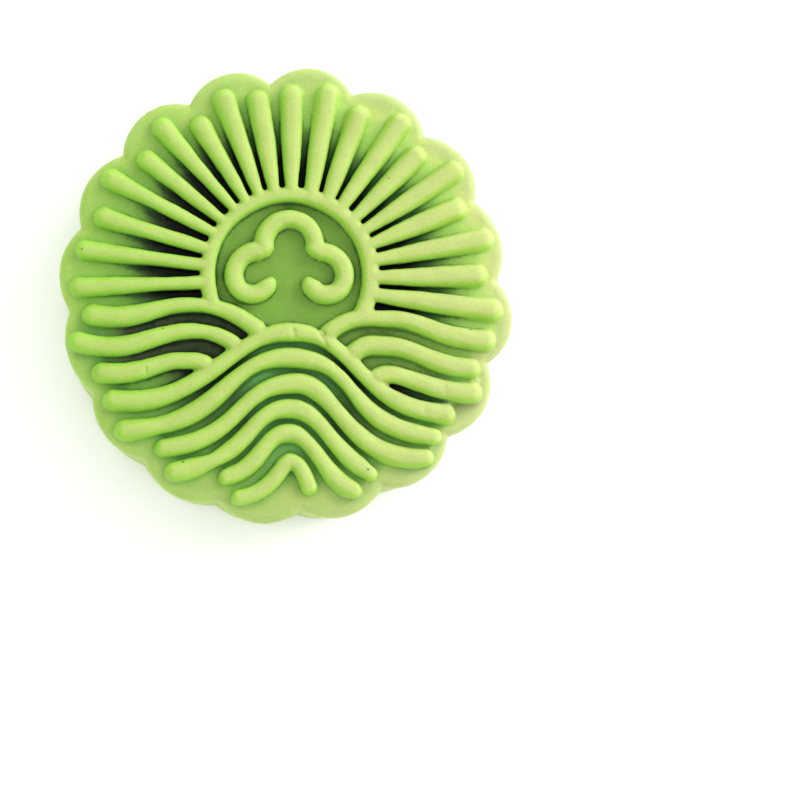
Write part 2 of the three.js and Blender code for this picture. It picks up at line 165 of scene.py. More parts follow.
def ridge(path, width, domed=(False, False), crest=HEIGHT):
    """Keeps a ridge of dough: a round cap on two upright walls, carried along a path of the stamp.

    Across the path the cap is u = w/2 squared(cos a), z = crest - w/2 + w/2 squared(sin a), and below it
    the walls go straight down to SUNK, inside the cake. At a domed end both the width and the cap's height
    shrink by the sine of the dome's angle while the foot of the cap stays level.
    """
    path = path * STAMP_SCALE + STAMP_OFFSET
    run = np.concatenate([[0], np.cumsum(np.hypot(*np.diff(path, axis=0).T))])
    whole = run[-1]
    width = np.broadcast_to(width, len(path))
    dome = np.radians(np.linspace(4, 90, DOME_ROWS + 1))[:-1]
    start = width[0] / 2 if domed[0] else 0
    stop = width[-1] / 2 if domed[1] else 0
    at = np.linspace(start, whole - stop, max(3, int((whole - start - stop) / ROW_STEP)))
    wide = np.ones_like(at)
    if domed[0]:
        at = np.concatenate([start * (1 - np.cos(dome)), at])
        wide = np.concatenate([np.sin(dome), wide])
    if domed[1]:
        at = np.concatenate([at, whole - stop * (1 - np.cos(dome[::-1]))])
        wide = np.concatenate([wide, np.sin(dome[::-1])])
    centre = np.stack([np.interp(at, run, path[:, 0]), np.interp(at, run, path[:, 1])], 1)
    ahead = np.stack([np.interp(at, run, np.gradient(path[:, k], run)) for k in (0, 1)], 1)
    ahead /= np.linalg.norm(ahead, axis=1)[:, None]
    aside = np.stack([-ahead[:, 1], ahead[:, 0]], 1)
    full = np.interp(at, run, width) / 2
    top = np.interp(at, run, np.broadcast_to(crest, len(path)))
    cap = np.radians(np.linspace(0, 180, CAP_COLUMNS))
    across = (full * wide)[:, None] * np.append(squared(np.cos(cap)), [-1, 1])
    height = top[:, None] - full[:, None] * (1 - wide[:, None] * squared(np.sin(cap)))
    height = np.hstack([height, np.full((len(at), 2), SUNK)])
    ring = centre[:, None, :] + aside[:, None, :] * across[:, :, None]
    close_shell(np.dstack([ring, height])[:, ::-1])


def along(path, widths):
    """The widths spaced evenly along the points of the path, with straight steps between them."""
    return np.interp(np.linspace(0, len(widths) - 1, len(path)), range(len(widths)), widths)


def arc(centre, radius, angles):
    """Points of the circle c + r (cos a, sin a)."""
    return centre + radius * np.stack([np.cos(angles), np.sin(angles)], 1)


ring_path = arc(SUN, RING_RADIUS, np.linspace(*RING_ENDS, 200))
ridge(ring_path, along(ring_path, RING_WIDTHS))

# The ground inside the ring is a slab whose lower edge is hidden under the hills.
sun_foot = np.array([[-8, -4.4], [-3, -7], [1, -6], [5, -7], [9, -5.2]])
sun_edge = np.vstack([ring_path, sun_foot]) * STAMP_SCALE + STAMP_OFFSET
sun_slab = np.stack([np.column_stack([sun_edge, np.full(len(sun_edge), h)]) for h in (SUNK, SUN_GROUND)])
close_shell(sun_slab)


# ---- the rays ----
# Nineteen straight ridges that leave the sun's ring and widen towards the rim, where each ends in a
# round dome just inside the scalloped edge. The two lowest stand closer to their neighbours.
RAY_INNER = 13.7
RAY_PARTING = 14.6
GROOVE = 0.6
RAY_TIP_WIDTH = np.interp(range(19), [0, 3, 7, 18], [3.7, 3.8, 4.1, 4.1])
LEFT_REACH = [35.9, 35.3, 33.4, 34.8, 31.8, 33.8, 30.4, 32.9, 31.3, 31.9]
RIGHT_REACH = [32.8, 30.9, 33.3, 30.8, 34.2, 31.7, 34.6, 32.9, 35.9]
FOOT_SWAY = np.array([-0.5, -1, -1, -1.5, -0.5, -0.5, 1.5, 3, 3.5, 3, 1, 0, 0.5, 0.3, 1.2, 2.3, 2.5, 2, 1.4])
TIP_SWAY = np.array([1, -0.5, 0, -0.5, -0.5, 0, 0.5, 1, 1.5, 1.5, 1, 0.5, 1.5, 1.5, 1.5, 1.5, 1, 1, 0])

# The rays part from the ring at RAY_PARTING with a groove between each two, at even turns but for a sway.
ray_foot = np.radians(185.2 - 11.05 * np.arange(19) + FOOT_SWAY)
foot_step = -np.diff(ray_foot, prepend=2 * ray_foot[0] - ray_foot[1], append=2 * ray_foot[-1] - ray_foot[-2])
ray_foot_width = RAY_PARTING * np.minimum(foot_step[:-1], foot_step[1:]) - GROOVE
ray_tip = np.concatenate([[182.4], 173.6 - 10.7 * np.arange(11), 53.0 - 10.67 * np.arange(6), [-9.0]])
ray_tip = np.radians(ray_tip + TIP_SWAY)

for number, (foot_turn, tip_turn, length) in enumerate(zip(ray_foot, ray_tip, LEFT_REACH + RIGHT_REACH)):
    inner = arc(SUN, RAY_INNER, np.array([foot_turn]))
    outer = arc(SUN, length, np.array([tip_turn]))
    out = np.linspace(0, 1, 60)
    # The left rays stay narrow for longer and swell near the tip; the right ones widen at once.
    late = np.interp(number, [3, 8], [1, 0])
    spread = late * out**1.6 + (1 - late) * (1 - (1 - out) ** 1.8)
    width = ray_foot_width[number] + (RAY_TIP_WIDTH[number] - ray_foot_width[number]) * spread
    ridge(inner + (outer - inner) * out[:, None], width, (False, True))


# ---- the hills ----
# Nested round hills below the sun. Each is one ridge with a level peak and a flank that falls and
# levels out again on either side; its ends are domes at the rim.
BAND_WIDTH = 3.8
NARROWEST_BAND = 2.4
END_GROOVE = 0.42
CLOSING_RADIUS = 30.0


def flank(peak, end, pull_peak, pull_end, fall):
    """The cubic curve from a level peak to an end that it reaches at the angle fall.

    b(t) = (1-t)^3 p0 + 3 (1-t)^2 t p1 + 3 (1-t) t^2 p2 + t^3 p3, with the pulls as the lengths of
    its two handles.
    """
    out = np.sign(end[0] - peak[0])
    slope = np.radians(fall)
    p0, p3 = np.array(peak), np.array(end)
    p1 = p0 + np.array([out * pull_peak, 0])
    p2 = p3 - pull_end * np.array([out * np.cos(slope), np.sin(slope)])
    t = np.linspace(0, 1, 120)[:, None]
    return (1 - t) ** 3 * p0 + 3 * (1 - t) ** 2 * t * p1 + 3 * (1 - t) * t**2 * p2 + t**3 * p3


def hill(peak, left, right):
    """The path over a peak: left flank up, right flank down. A flank is end, two pulls, and its fall."""
    return np.vstack([flank(peak, *left)[::-1], flank(peak, *right)[1:]])


def room_between(path, neighbours):
    """Widths that leave one groove free: the distance to the nearest neighbour less GROOVE.

    Past CLOSING_RADIUS the groove narrows to END_GROOVE. The widths are kept between NARROWEST_BAND
    and BAND_WIDTH and evened out along the path.
    """
    beside = np.vstack(neighbours)
    groove = np.where(np.hypot(path[:, 0], path[:, 1]) < CLOSING_RADIUS, GROOVE, END_GROOVE)
    room = np.linalg.norm(path[:, None, :] - beside[None, :, :], axis=2).min(1) - groove
    room = np.clip(room, NARROWEST_BAND, BAND_WIDTH)
    return np.convolve(np.pad(room, 4, mode="edge"), np.ones(9) / 9, mode="valid")


big_hills = [
    hill((0.7, -5.8), ((-29.9, -16.8), 10, 16, 11), ((28.2, -19.2), 11.8, 17, 0)),
    hill((0.5, -10.0), ((-28.0, -22.0), 11.2, 19, 0), ((25.8, -23.0), 12.9, 17.2, -3)),
    hill((1.9, -14.2), ((-21.4, -25.0), 10.4, 14.8, -3), ((24.5, -26.2), 6.7, 14.3, 9.5)),
    hill((0.5, -18.4), ((-19.8, -28.9), 7.2, 14.9, -5.5), ((15.1, -29.7), 5.9, 9.6, -27.5)),
    hill((0.6, -22.4), ((-11.0, -29.9), 4.7, 7.7, -9), ((12.7, -31.8), 4.4, 5.7, 4)),
]
OUTERMOST_WIDTHS = [3.9, 3.7, 3.1, 2.8, 2.7, 3.4, 2.7, 2.5, 2.7, 3.3, 3.9]
big_widths = [along(big_hills[0], OUTERMOST_WIDTHS)]
for number in range(1, len(big_hills)):
    beside = big_hills[number - 1 : number] + big_hills[number + 1 : number + 2]
    big_widths.append(room_between(big_hills[number], beside))
for path, width in zip(big_hills, big_widths):
    ridge(path, width, (True, True))

# The innermost hill is two legs that lean on each other at the peak.
for end, pull_peak, pull_end, fall in (((-9.0, -33.0), 1.2, 7, 0), ((4.3, -32.6), 1.8, 2.5, -75)):
    leg = flank((0.7, -26.9), end, pull_peak, pull_end, fall)
    past = np.array([0.7 - np.sign(end[0] - 0.7) * 1.3, -27.2])
    head = past + (leg[0] - past) * np.linspace(0, 1, 12)[:-1, None]
    ridge(np.vstack([head, leg]), 2.9, (True, True))


# ---- the far hills ----
# Three lower hills on each side, behind the big one. Both ends of each are domes: the inner one butts
# against the big hill's flank with a crease, the outer one lies at the rim.
left_hills = [
    hill((-15.7, -1.4), ((-33.2, -2.9), 6.5, 9.3, 12), ((-3.6, -6.3), 3.8, 6.1, -42)),
    hill((-15.1, -5.7), ((-35.4, -7.1), 6.9, 10.7, 19), ((-7.5, -8.6), 2.1, 3.6, -43)),
    hill((-17.2, -10.6), ((-31.7, -12.3), 3.6, 7.3, 13), ((-12.0, -11.8), 2.0, 2.6, -36)),
]
LEFT_WIDTHS = [
    [3.9, 3.6, 2.8, 2.4, 3.1, 3.3],
    [3.7, 3.5, 2.9, 2.6, 2.8, 3.0],
    [3.7, 3.5, 3.1, 2.9, 2.9, 2.9],
]
right_hills = [
    hill((17.1, -3.5), ((5.9, -6.8), 4.8, 6.4, -41), ((34.9, -7.0), 5.6, 10.5, 0)),
    hill((16.3, -8.0), ((10.2, -10.2), 2.1, 3.9, -49), ((32.3, -11.8), 5.9, 9.0, -1)),
    hill((17.4, -12.7), ((14.0, -14.0), 2.1, 1.5, -40), ((32.7, -15.4), 3.0, 6.4, 13)),
]
RIGHT_WIDTHS = [
    [3.2, 3.1, 2.8, 3.0, 3.4, 3.8],
    [3.2, 3.5, 3.4, 3.4, 3.5, 3.6],
    [2.9, 3.1, 3.2, 3.2, 3.6, 4.1],
]
left_widths = [along(path, widths) for path, widths in zip(left_hills, LEFT_WIDTHS)]
right_widths = [along(path, widths) for path, widths in zip(right_hills, RIGHT_WIDTHS)]
for path, width in zip(left_hills + right_hills, left_widths + right_widths):
    ridge(path, width, (True, True))


# ---- the shut ends of the grooves ----
# The wooden fins between the hills run out before the rim on the right, where the hills lean on each
# other: where a groove is narrower than a fin can be, the dough stands up to the foot of their caps.
FILL_WIDTH = 1.6
FILL_FROM = 26.5
SHUT_GAP = 0.45
OPEN_GAP = 0.85
SHUT_CREST = 24.1
OPEN_CREST = 22.2

right_side = right_hills[1:] + big_hills
right_side_widths = right_widths[1:] + big_widths
for number in range(1, len(right_side)):
    upper, lower = right_side[number - 1 : number + 1]
    faced = np.linalg.norm(lower[:, None, :] - upper[None, :, :], axis=2).argmin(1)
    middle = (lower + upper[faced]) / 2
    gap = np.linalg.norm(lower - upper[faced], axis=1)
    gap -= (right_side_widths[number] + right_side_widths[number - 1][faced]) / 2
    narrow = (np.hypot(middle[:, 0], middle[:, 1]) > FILL_FROM) & (middle[:, 0] > 0) & (gap < OPEN_GAP)
    crest = np.interp(gap[narrow], [SHUT_GAP, OPEN_GAP], [SHUT_CREST, OPEN_CREST])
    ridge(middle[narrow], FILL_WIDTH, (True, True), crest)


# ---- the cloud in the sun ----
# A plain cloud head of the old pastry patterns: one lobe over two side lobes that curl inwards, drawn
# with a slightly thinner ridge than the hills.
CLOUD_WIDTH = 3.3
CLOUD_AXIS = 0.6
TOP_MIDDLE = 8.7
TOP_RADIUS = 4.2
TOP_ENDS = np.radians([-32, 212])
CURL_ASIDE = 5.2
CURL_MIDDLE = 3.6
CURL_RADII = [3.9, 1.7]
CURL_START, CURL_CLOSES, CURL_STOP = 116, -40, -172

top_lobe = arc(np.array([CLOUD_AXIS, TOP_MIDDLE]), TOP_RADIUS, np.linspace(*TOP_ENDS, 120))
ridge(top_lobe, CLOUD_WIDTH, (True, True))

# A side lobe is an arc that shrinks evenly into its curl from CURL_CLOSES on.
curl_turn = np.linspace(CURL_START, CURL_STOP, 160)
curl_radius = np.interp(-curl_turn, [-CURL_CLOSES, -CURL_STOP], CURL_RADII)
curl_x = CURL_ASIDE + curl_radius * np.cos(np.radians(curl_turn))
curl_y = CURL_MIDDLE + curl_radius * np.sin(np.radians(curl_turn))
for hand in (1, -1):
    ridge(np.stack([CLOUD_AXIS + hand * curl_x, curl_y], 1), CLOUD_WIDTH, (True, True))


# ---- one skin of dough ----
# In the mould all of this is one soft mass: the ridges run into each other and into the ground with
# small fillets, and no two stretches of a ridge are pressed quite alike.
VOXEL = 0.15
MOST_FACES = 190000
MOULD_CENTRE = (-0.24, -0.26, 0)
LUMPS = [(0.12, 11.0, 3), (0.08, 4.5, 4), (0.04, 1.7, 5)]
LUMPS_SETTLE = 0.13
FLAT_FOOT = 3.0


def mesh_of(name, points, faces):
    """A mesh of triangles from an array of points and an array of three corners each."""
    mesh = bpy.data.meshes.new(name)
    mesh.vertices.add(len(points))
    mesh.vertices.foreach_set("co", points.astype(np.float32).ravel())
    mesh.loops.add(faces.size)
    mesh.loops.foreach_set("vertex_index", faces.astype(np.int32).ravel())
    mesh.polygons.add(len(faces))
    mesh.polygons.foreach_set("loop_start", np.arange(0, faces.size, 3, dtype=np.int32))
    mesh.update(calc_edges=True)
    return mesh


def finished(thing, name):
    """A new mesh with the modifiers of thing worked in."""
    bpy.context.view_layer.update()
    depsgraph = bpy.context.evaluated_depsgraph_get()
    mesh = bpy.data.meshes.new_from_object(thing.evaluated_get(depsgraph))
    mesh.name = name
    return mesh


def vertex_rows(mesh, what):
    """Three numbers for each vertex of the mesh: its co or its normal."""
    values = np.empty(3 * len(mesh.vertices), np.float32)
    mesh.vertices.foreach_get(what, values)
    return values.reshape(-1, 3).astype(float)


starts = np.cumsum([0] + [len(points) for points, _ in shells])
all_points = np.vstack([points for points, _ in shells])
all_faces = np.vstack([faces + start for (_, faces), start in zip(shells, starts)])
cake = bpy.data.objects.new("pressed_cake", mesh_of("pressed_parts", all_points, all_faces))
bpy.context.scene.collection.objects.link(cake)
melt = cake.modifiers.new("one mass", "REMESH")
melt.mode = "VOXEL"
melt.voxel_size = VOXEL
soften = cake.modifiers.new("soft fillets", "SMOOTH")
soften.factor = 0.5
soften.iterations = 4
skin = finished(cake, "mooncake_skin")
cake.modifiers.clear()
cake.data = skin

place = vertex_rows(skin, "co")
facing = vertex_rows(skin, "normal")


def swell(p, wavelength, seed):
    """A slow wave over space between -1 and 1: the mean of six sines in six fixed directions."""
    lots = np.random.default_rng(seed)
    heading = lots.normal(size=(6, 3))
    heading /= np.linalg.norm(heading, axis=1)[:, None]
    phase = lots.uniform(0, 2 * np.pi, 6)
    return np.sin(p @ heading.T * (2 * np.pi / wavelength) + phase).mean(1)


def dent(ends, width, depth):
    """How deep a crease is at each point: depth exp(-(d / width)^2), with d from the segment of the ends."""
    start, stop = np.array(ends)
    way = (stop - start) / np.hypot(*(stop - start))
    reached = np.clip((place[:, :2] - start) @ way, 0, np.hypot(*(stop - start)))
    off = np.linalg.norm(place[:, :2] - start - reached[:, None] * way, axis=1)
    return (place[:, 2] > CREASED_ABOVE) * depth * np.exp(-((off / width) ** 2))


# Soft creases where two ends of dough met over the big hill, then nicks and scrapes from the turning out.
# Each has its two ends, its width and its depth, and marks only the tops of the ridges.
CREASED_ABOVE = 24.0
CREASES = [
    ([(0.9, -4.6), (1.2, -5.8)], 0.35, 0.12),
    ([(1.2, -5.8), (1.3, -6.9)], 0.45, 0.25),
    ([(5.2, -5.4), (5.9, -6.6)], 0.40, 0.22),
    ([(5.9, -6.6), (6.5, -8.6)], 0.40, 0.22),
    ([(26.0, -14.6), (26.0, -15.9)], 0.50, 0.20),
    ([(22.6, -18.0), (22.6, -19.1)], 0.50, 0.16),
    ([(-22.7, -11.9), (-22.6, -12.8)], 0.22, 0.20),
    ([(8.0, -11.4), (8.3, -12.1)], 0.25, 0.14),
    ([(6.4, -10.7), (6.8, -11.3)], 0.25, 0.12),
]
lumps = sum(height * swell(place, wavelength, seed) for height, wavelength, seed in LUMPS) - LUMPS_SETTLE
for ends, width, depth in CREASES:
    lumps -= dent(ends, width, depth)
above_base = np.clip(place[:, 2] / FLAT_FOOT, 0, 1)
place += facing * (lumps * above_base)[:, None]
skin.vertices.foreach_set("co", place.astype(np.float32).ravel())

# The flat base and the plain side need fewer faces than the relief.
thin_out = cake.modifiers.new("fewer faces", "DECIMATE")
thin_out.ratio = MOST_FACES / (2 * len(skin.polygons))
thin_out.use_collapse_triangulate = True
lean = finished(cake, "mooncake_dough")
cake.modifiers.clear()
cake.data = lean

lean.transform(Matrix.Translation(MOULD_CENTRE))
lean.transform(Matrix.Scale(0.001, 4))
lean.polygons.foreach_set("use_smooth", np.ones(len(lean.polygons), bool))


# ---- the look of the dough ----
# Rice dough tinted green with pandan or tea. Its tops are painted pale and its walls a deeper green, as
# painted light and shade from the window at the upper right, and its grooves are darkened as painted shade.
# At the bottom of the deep grooves the skin is thin and the dark bean filling shows through it.
CELL = 0.2
CELLS = 420
WALL_REACH = 1.0
FOOT_REACH = 0.45
SHADOW_SIDE_REACH = 0.5
TOWARDS_WINDOW = np.array([0.4, 0.8])
PRESSED_DEPTH = 5.0
WALL_DROP = 1.8
FOOT_DROP = 1.1
ZONE_EDGE = 0.3
HILL_AXIS = 0.5

place = 1000 * vertex_rows(lean, "co")

# A map of the top: the height of the dough over each cell, with the gaps between points closed.
column = np.clip(np.round(place[:, :2] / CELL).astype(int) + CELLS // 2, 0, CELLS - 1)
top_map = np.zeros((CELLS, CELLS))
np.maximum.at(top_map, (column[:, 0], column[:, 1]), place[:, 2])
for _ in range(2):
    beside = np.max([np.roll(top_map, (i, j), (0, 1)) for i in (-1, 0, 1) for j in (-1, 0, 1)], axis=0)
    top_map = np.where(top_map < SUNK, beside, top_map)
top_map = np.where(top_map < SUNK, SHOULDER - BOWL_DEPTH, top_map)
wave = np.fft.fftfreq(CELLS, CELL)
wave_square = wave[:, None] ** 2 + wave[None, :] ** 2


def surroundings(reach, shift=(0, 0)):
    """The mean height of the map round each point moved by shift, weighted by exp(-d^2 / (2 reach^2))."""
    mean_map = np.fft.ifft2(np.fft.fft2(top_map) * np.exp(-2 * (np.pi * reach) ** 2 * wave_square)).real
    moved = np.clip(column + np.round(np.array(shift) / CELL).astype(int), 0, CELLS - 1)
    return mean_map[moved[:, 0], moved[:, 1]]


def soft(value, low, high):
    """0 below low, 1 above high, and 3 t^2 - 2 t^3 between them. With high below low it falls instead."""
    t = np.clip((value - low) / (high - low), 0, 1)
    return t * t * (3 - 2 * t)


def under(path):
    """1 below the line of a hill and 0 above it, with a soft edge. The line runs on level past its ends."""
    line = path * STAMP_SCALE + STAMP_OFFSET + MOULD_CENTRE[:2]
    return soft(np.interp(place[:, 0], line[:, 0], line[:, 1]) - place[:, 1], -ZONE_EDGE, ZONE_EDGE)


# Where each point lies, as seen from above: in the sky with the rays and the sun, between the near hills,
# or between the far hills on the left or the right. Every zone is a share from 0 to 1.
ring_middle = SUN * STAMP_SCALE + STAMP_OFFSET + MOULD_CENTRE[:2]
off_sun = place[:, :2] - ring_middle
from_ring = np.hypot(*off_sun.T) - RING_RADIUS
from_mould = place[:, :2] - MOULD_CENTRE[:2]
to_side = scalloped_radius(np.arctan2(from_mould[:, 1], from_mould[:, 0])) - np.hypot(*from_mould.T)
inside_rim = soft(to_side, 0.5, 1.4)
near_rim = soft(np.hypot(*place[:, :2].T), 22, 31)
to_right = soft(place[:, 0], -3, 3)
in_the_middle = soft(np.abs(place[:, 0] - HILL_AXIS), 10, 4)

near_hills = under(big_hills[0])
sky = 1 - np.max([near_hills, under(left_hills[0]), under(right_hills[0])], axis=0)
in_sun = sky * (from_ring < 0)
in_rays = sky * (from_ring > 0)
right_rays = sky * to_right
far_left = (1 - sky) * (1 - near_hills) * (1 - to_right)
far_right = (1 - sky) * (1 - near_hills) * to_right
last_left = under(left_hills[2])
last_right = far_right * under(right_hills[2])
right_ends = (1 - sky) * soft(place[:, 0], 18, 22) * soft(np.hypot(*place[:, :2].T), 33, 31)

# How deep each point lies: below the tops of the ridges, below what is round it, and below what is close by,
# as it does at the foot of a wall; these set the painted shade in the recesses. The last measure is how much
# higher the dough is up and to the right of it, towards the window, and marks where painted shadow falls.
sunk = HEIGHT - place[:, 2]
wall_drop = surroundings(WALL_REACH) - place[:, 2]
foot_drop = surroundings(FOOT_REACH) - place[:, 2]
shadow_side = surroundings(SHADOW_SIDE_REACH, TOWARDS_WINDOW) - surroundings(SHADOW_SIDE_REACH, -TOWARDS_WINDOW)
pressed = soft(sunk, PRESSED_DEPTH + 1, PRESSED_DEPTH)
on_floor = soft(place[:, 2] - ground_level(*from_mould.T), 0.9, 0.3)
# Painted shade on the steep walls between the near hills, and along the foot of every wall.
steep = soft(wall_drop, 1.9, 2.6) * (1 - in_the_middle)
foot = soft(foot_drop, 0.5 * FOOT_DROP, FOOT_DROP) * (1 - 0.55 * far_right)

# Between the rays the filling shows black, and the black is painted shade as well: as far out from the sun's
# ring as
# BLACK_REACHES say at these turns round the ring, and further out on the side of a ray away from the window
# as painted shadow. Past its edge the green is only darkened, as painted shade.
BLACK_TURNS = [-15, 0, 30, 70, 90, 105, 125]
BLACK_REACHES = [10.5, 10.0, 8.5, 8.0, 9.0, 10.5, 11.2]
BLACK_FADE = 4.0
DARK_MARGIN = 3.5
DARK_FADE = 4.5
round_ring = np.degrees(np.arctan2(off_sun[:, 1], off_sun[:, 0]))
black_reach = np.interp(round_ring, BLACK_TURNS, BLACK_REACHES) + np.clip(shadow_side, -0.8, 1.6)
dark_reach = black_reach + DARK_MARGIN
black = in_rays * soft(from_ring, black_reach, black_reach - BLACK_FADE)
shade_past_black = in_rays * soft(from_ring, dark_reach, dark_reach - DARK_FADE)

# Between the far hills on the left the filling shows brown, less far out below the last of them. Below the
# last far hill on the right the inner end of the groove is painted near black where it is deep.
brown_end = -32 + 10 * last_left
brown = far_left * soft(sunk, 2.3, 3.0) * soft(place[:, 0], brown_end, brown_end + 6)

# The colour of the grooves: painted shade in the recesses, and the filling where it shows. Each layer is a
# share and the colour that it brings in over those before it.
WALL_SHADE_GREEN = (0.090, 0.380, 0.036)
LAYERS = [
    (sky * near_rim, (0.130, 0.430, 0.045)),
    # On the right, nearer the window, the painted shade of the rays' grooves is lighter.
    (right_rays, (0.220, 0.570, 0.052)),
    (right_rays * near_rim, (0.365, 0.600, 0.125)),
    (sky * soft(wall_drop, 1.0, 1.8), (0.065, 0.300, 0.030)),
    (shade_past_black, (0.052, 0.092, 0.026)),
    (near_hills, (0.085, 0.380, 0.055)),
    (near_hills * on_floor, (0.110, 0.210, 0.050)),
    (near_hills * on_floor * in_the_middle, (0.250, 0.610, 0.180)),
    (near_hills * on_floor * near_rim, (0.140, 0.380, 0.060)),
    (far_right, (0.120, 0.420, 0.060)),
    (far_right * on_floor, (0.310, 0.505, 0.110)),
    (last_right, (0.040, 0.130, 0.030)),
    (in_sun, (0.190, 0.340, 0.050)),
    (far_left, (0.070, 0.300, 0.045)),
    (far_left * last_left, (0.120, 0.340, 0.045)),
    # Painted shade along the foot of the walls and on the steep walls between the near hills.
    (foot * (1 - 0.6 * near_hills), (0.040, 0.150, 0.030)),
    (near_hills * steep, (0.020, 0.055, 0.020)),
    (brown, (0.075, 0.105, 0.045)),
    # Painted shade along the foot of the walls over the brown filling.
    (brown * foot, (0.025, 0.045, 0.018)),
    (last_right * soft(place[:, 0], 24, 18), (0.010, 0.014, 0.008)),
    (black, (0.004, 0.005, 0.003)),
]
shade_and_filling_tint = np.tile(WALL_SHADE_GREEN, (len(place), 1))
for share, paint in LAYERS:
    shade_and_filling_tint += (np.array(paint) - shade_and_filling_tint) * share[:, None]

# How much of that colour covers the pale dough, that is how strong the painted shade and the showing filling
# are: the largest of these shares, on the pressed top alone.
SHADE_AND_FILLING_COVERS = [
    np.clip(wall_drop / WALL_DROP, 0, 1) * (1 - 0.25 * sky * near_rim),
    # On the right the shallow recesses get the lighter painted shade too.
    0.8 * right_rays * soft(wall_drop, 0, 0.9),
    right_ends * soft(wall_drop, 0.15, 0.5),
    np.maximum(shade_past_black, brown) * soft(sunk, 1.8, 2.7),
    in_sun * soft(sunk, 1.8, 2.6),
    last_right * soft(place[:, 0], 28, 22) * soft(sunk, 1.9, 2.9),
    foot,
]
shade_and_filling_cover = np.max(SHADE_AND_FILLING_COVERS, axis=0) * pressed * inside_rim
# The attribute carries the painted shade of the grooves and the filling where it shows.
groove = lean.attributes.new("groove", "FLOAT_COLOR", "POINT")
groove.data.foreach_set("color", np.column_stack([shade_and_filling_tint, shade_and_filling_cover]).astype(np.float32).ravel())

dough = bpy.data.materials.new("green dough")
dough.use_nodes = True
nodes, links = dough.node_tree.nodes, dough.node_tree.links
shader = nodes["Principled BSDF"]
shader.inputs["Roughness"].default_value = 0.6
shader.inputs["Specular IOR Level"].default_value = 0.2
shader.inputs["Subsurface Weight"].default_value = 0.9
shader.inputs["Subsurface Radius"].default_value = (0.5, 1.0, 0.2)
shader.inputs["Subsurface Scale"].default_value = 0.0012


def node(kind, **settings):
    """A new node of the dough's material."""
    made = nodes.new(kind)
    for name, value in settings.items():
        setattr(made, name, value)
    return made


def ranged(value, low, high, step="SMOOTHSTEP"):
    """0 below low, 1 above high, and a soft or LINEAR step between them. With high below low it falls."""
    made = node("ShaderNodeMapRange", interpolation_type=step)
    links.new(value, made.inputs["Value"])
    made.inputs["From Min"].default_value = low
    made.inputs["From Max"].default_value = high
    return made.outputs["Result"]


def mixed(share, first, second):
    """first where share is 0 and second where it is 1. Each is a colour or an output."""
    made = node("ShaderNodeMix", data_type="RGBA")
    links.new(share, made.inputs[0])
    for slot, paint in ((made.inputs[6], first), (made.inputs[7], second)):
        if isinstance(paint, tuple):
            slot.default_value = (*paint, 1)
        else:
            links.new(paint, slot)
    return made.outputs[2]


def vector_math(operation, first, second=None):
    """The node for one operation on vectors. first is an output, second an output or three numbers."""
    made = node("ShaderNodeVectorMath", operation=operation)
    links.new(first, made.inputs[0])
    if isinstance(second, tuple):
        made.inputs[1].default_value = second
    elif second is not None:
        links.new(second, made.inputs[1])
    return made


def times(first, second):
    """The product of two outputs."""
    made = node("ShaderNodeMath", operation="MULTIPLY")
    links.new(first, made.inputs[0])
    links.new(second, made.inputs[1])
    return made.outputs[0]


coordinates = node("ShaderNodeTexCoord")
spot = coordinates.outputs["Object"]


def noise(scale, detail):
    """A noise of so many waves to the metre, around 0.5."""
    made = node("ShaderNodeTexNoise")
    links.new(spot, made.inputs["Vector"])
    made.inputs["Scale"].default_value = scale
    made.inputs["Detail"].default_value = detail
    return made.outputs["Fac"]


# The pale dough. Each pair is the colour at the left end of the cake and at the right end, nearer the window,
# where the colours of the top are painted paler and yellower as painted light: on the ridges' tops, on the
# ground between them, on shoulders and flanks, along the rim, and down the side.
TOPS = (0.340, 0.475, 0.110), (0.420, 0.480, 0.170)
GROUNDS = (0.290, 0.475, 0.078), (0.520, 0.530, 0.210)
SHOULDERS = (0.270, 0.480, 0.052), (0.330, 0.475, 0.084)
FLANKS = (0.222, 0.462, 0.044), (0.260, 0.475, 0.050)
RIMS = (0.295, 0.470, 0.086), (0.415, 0.458, 0.195)
SIDES = (0.330, 0.490, 0.110), (0.310, 0.430, 0.125)
LEFT_END, RIGHT_END = -0.040, 0.040
# The painted light: the way towards the light on the left and on the right, how much paler the right is
# painted, and where flank, shoulder and top colours give way.
PAINTED_LIGHT_WAYS = (0.17, 0.02, 0.98), (0.28, 0.32, 0.80)
PAINTED_LIGHT_TO_RIGHT = 0.27
FLANK_PAINTED_LIGHT, SHOULDER_PAINTED_LIGHT, TOP_PAINTED_LIGHT = 0.40, 0.78, 0.97

# Heights and distances from the axis, in metres, over which one colour gives way to the next.
GROUND_TO_TOP = 0.0242, 0.0254
TOP_TO_RIM = 0.0244, 0.0238
INNER_TO_RIM = 0.0330, 0.0350
SIDE_TO_RIM = 0.0195, 0.0225

axes = node("ShaderNodeSeparateXYZ")
links.new(spot, axes.inputs[0])
rightward = ranged(axes.outputs["X"], LEFT_END, RIGHT_END, "LINEAR")
how_high = axes.outputs["Z"]

# Painted light: a face is painted the paler the more it looks up, or on the right up and a little to the
# upper right, towards the window; faces turned away take the deeper flank colours as painted shade.
faces_light = vector_math("DOT_PRODUCT", coordinates.outputs["Normal"], mixed(rightward, *PAINTED_LIGHT_WAYS))
painted_light = node("ShaderNodeMath", operation="MULTIPLY_ADD")
links.new(rightward, painted_light.inputs[0])
painted_light.inputs[1].default_value = PAINTED_LIGHT_TO_RIGHT
links.new(faces_light.outputs["Value"], painted_light.inputs[2])
to_shoulder = ranged(painted_light.outputs[0], FLANK_PAINTED_LIGHT, SHOULDER_PAINTED_LIGHT, "LINEAR")
to_top = ranged(painted_light.outputs[0], SHOULDER_PAINTED_LIGHT, TOP_PAINTED_LIGHT, "LINEAR")

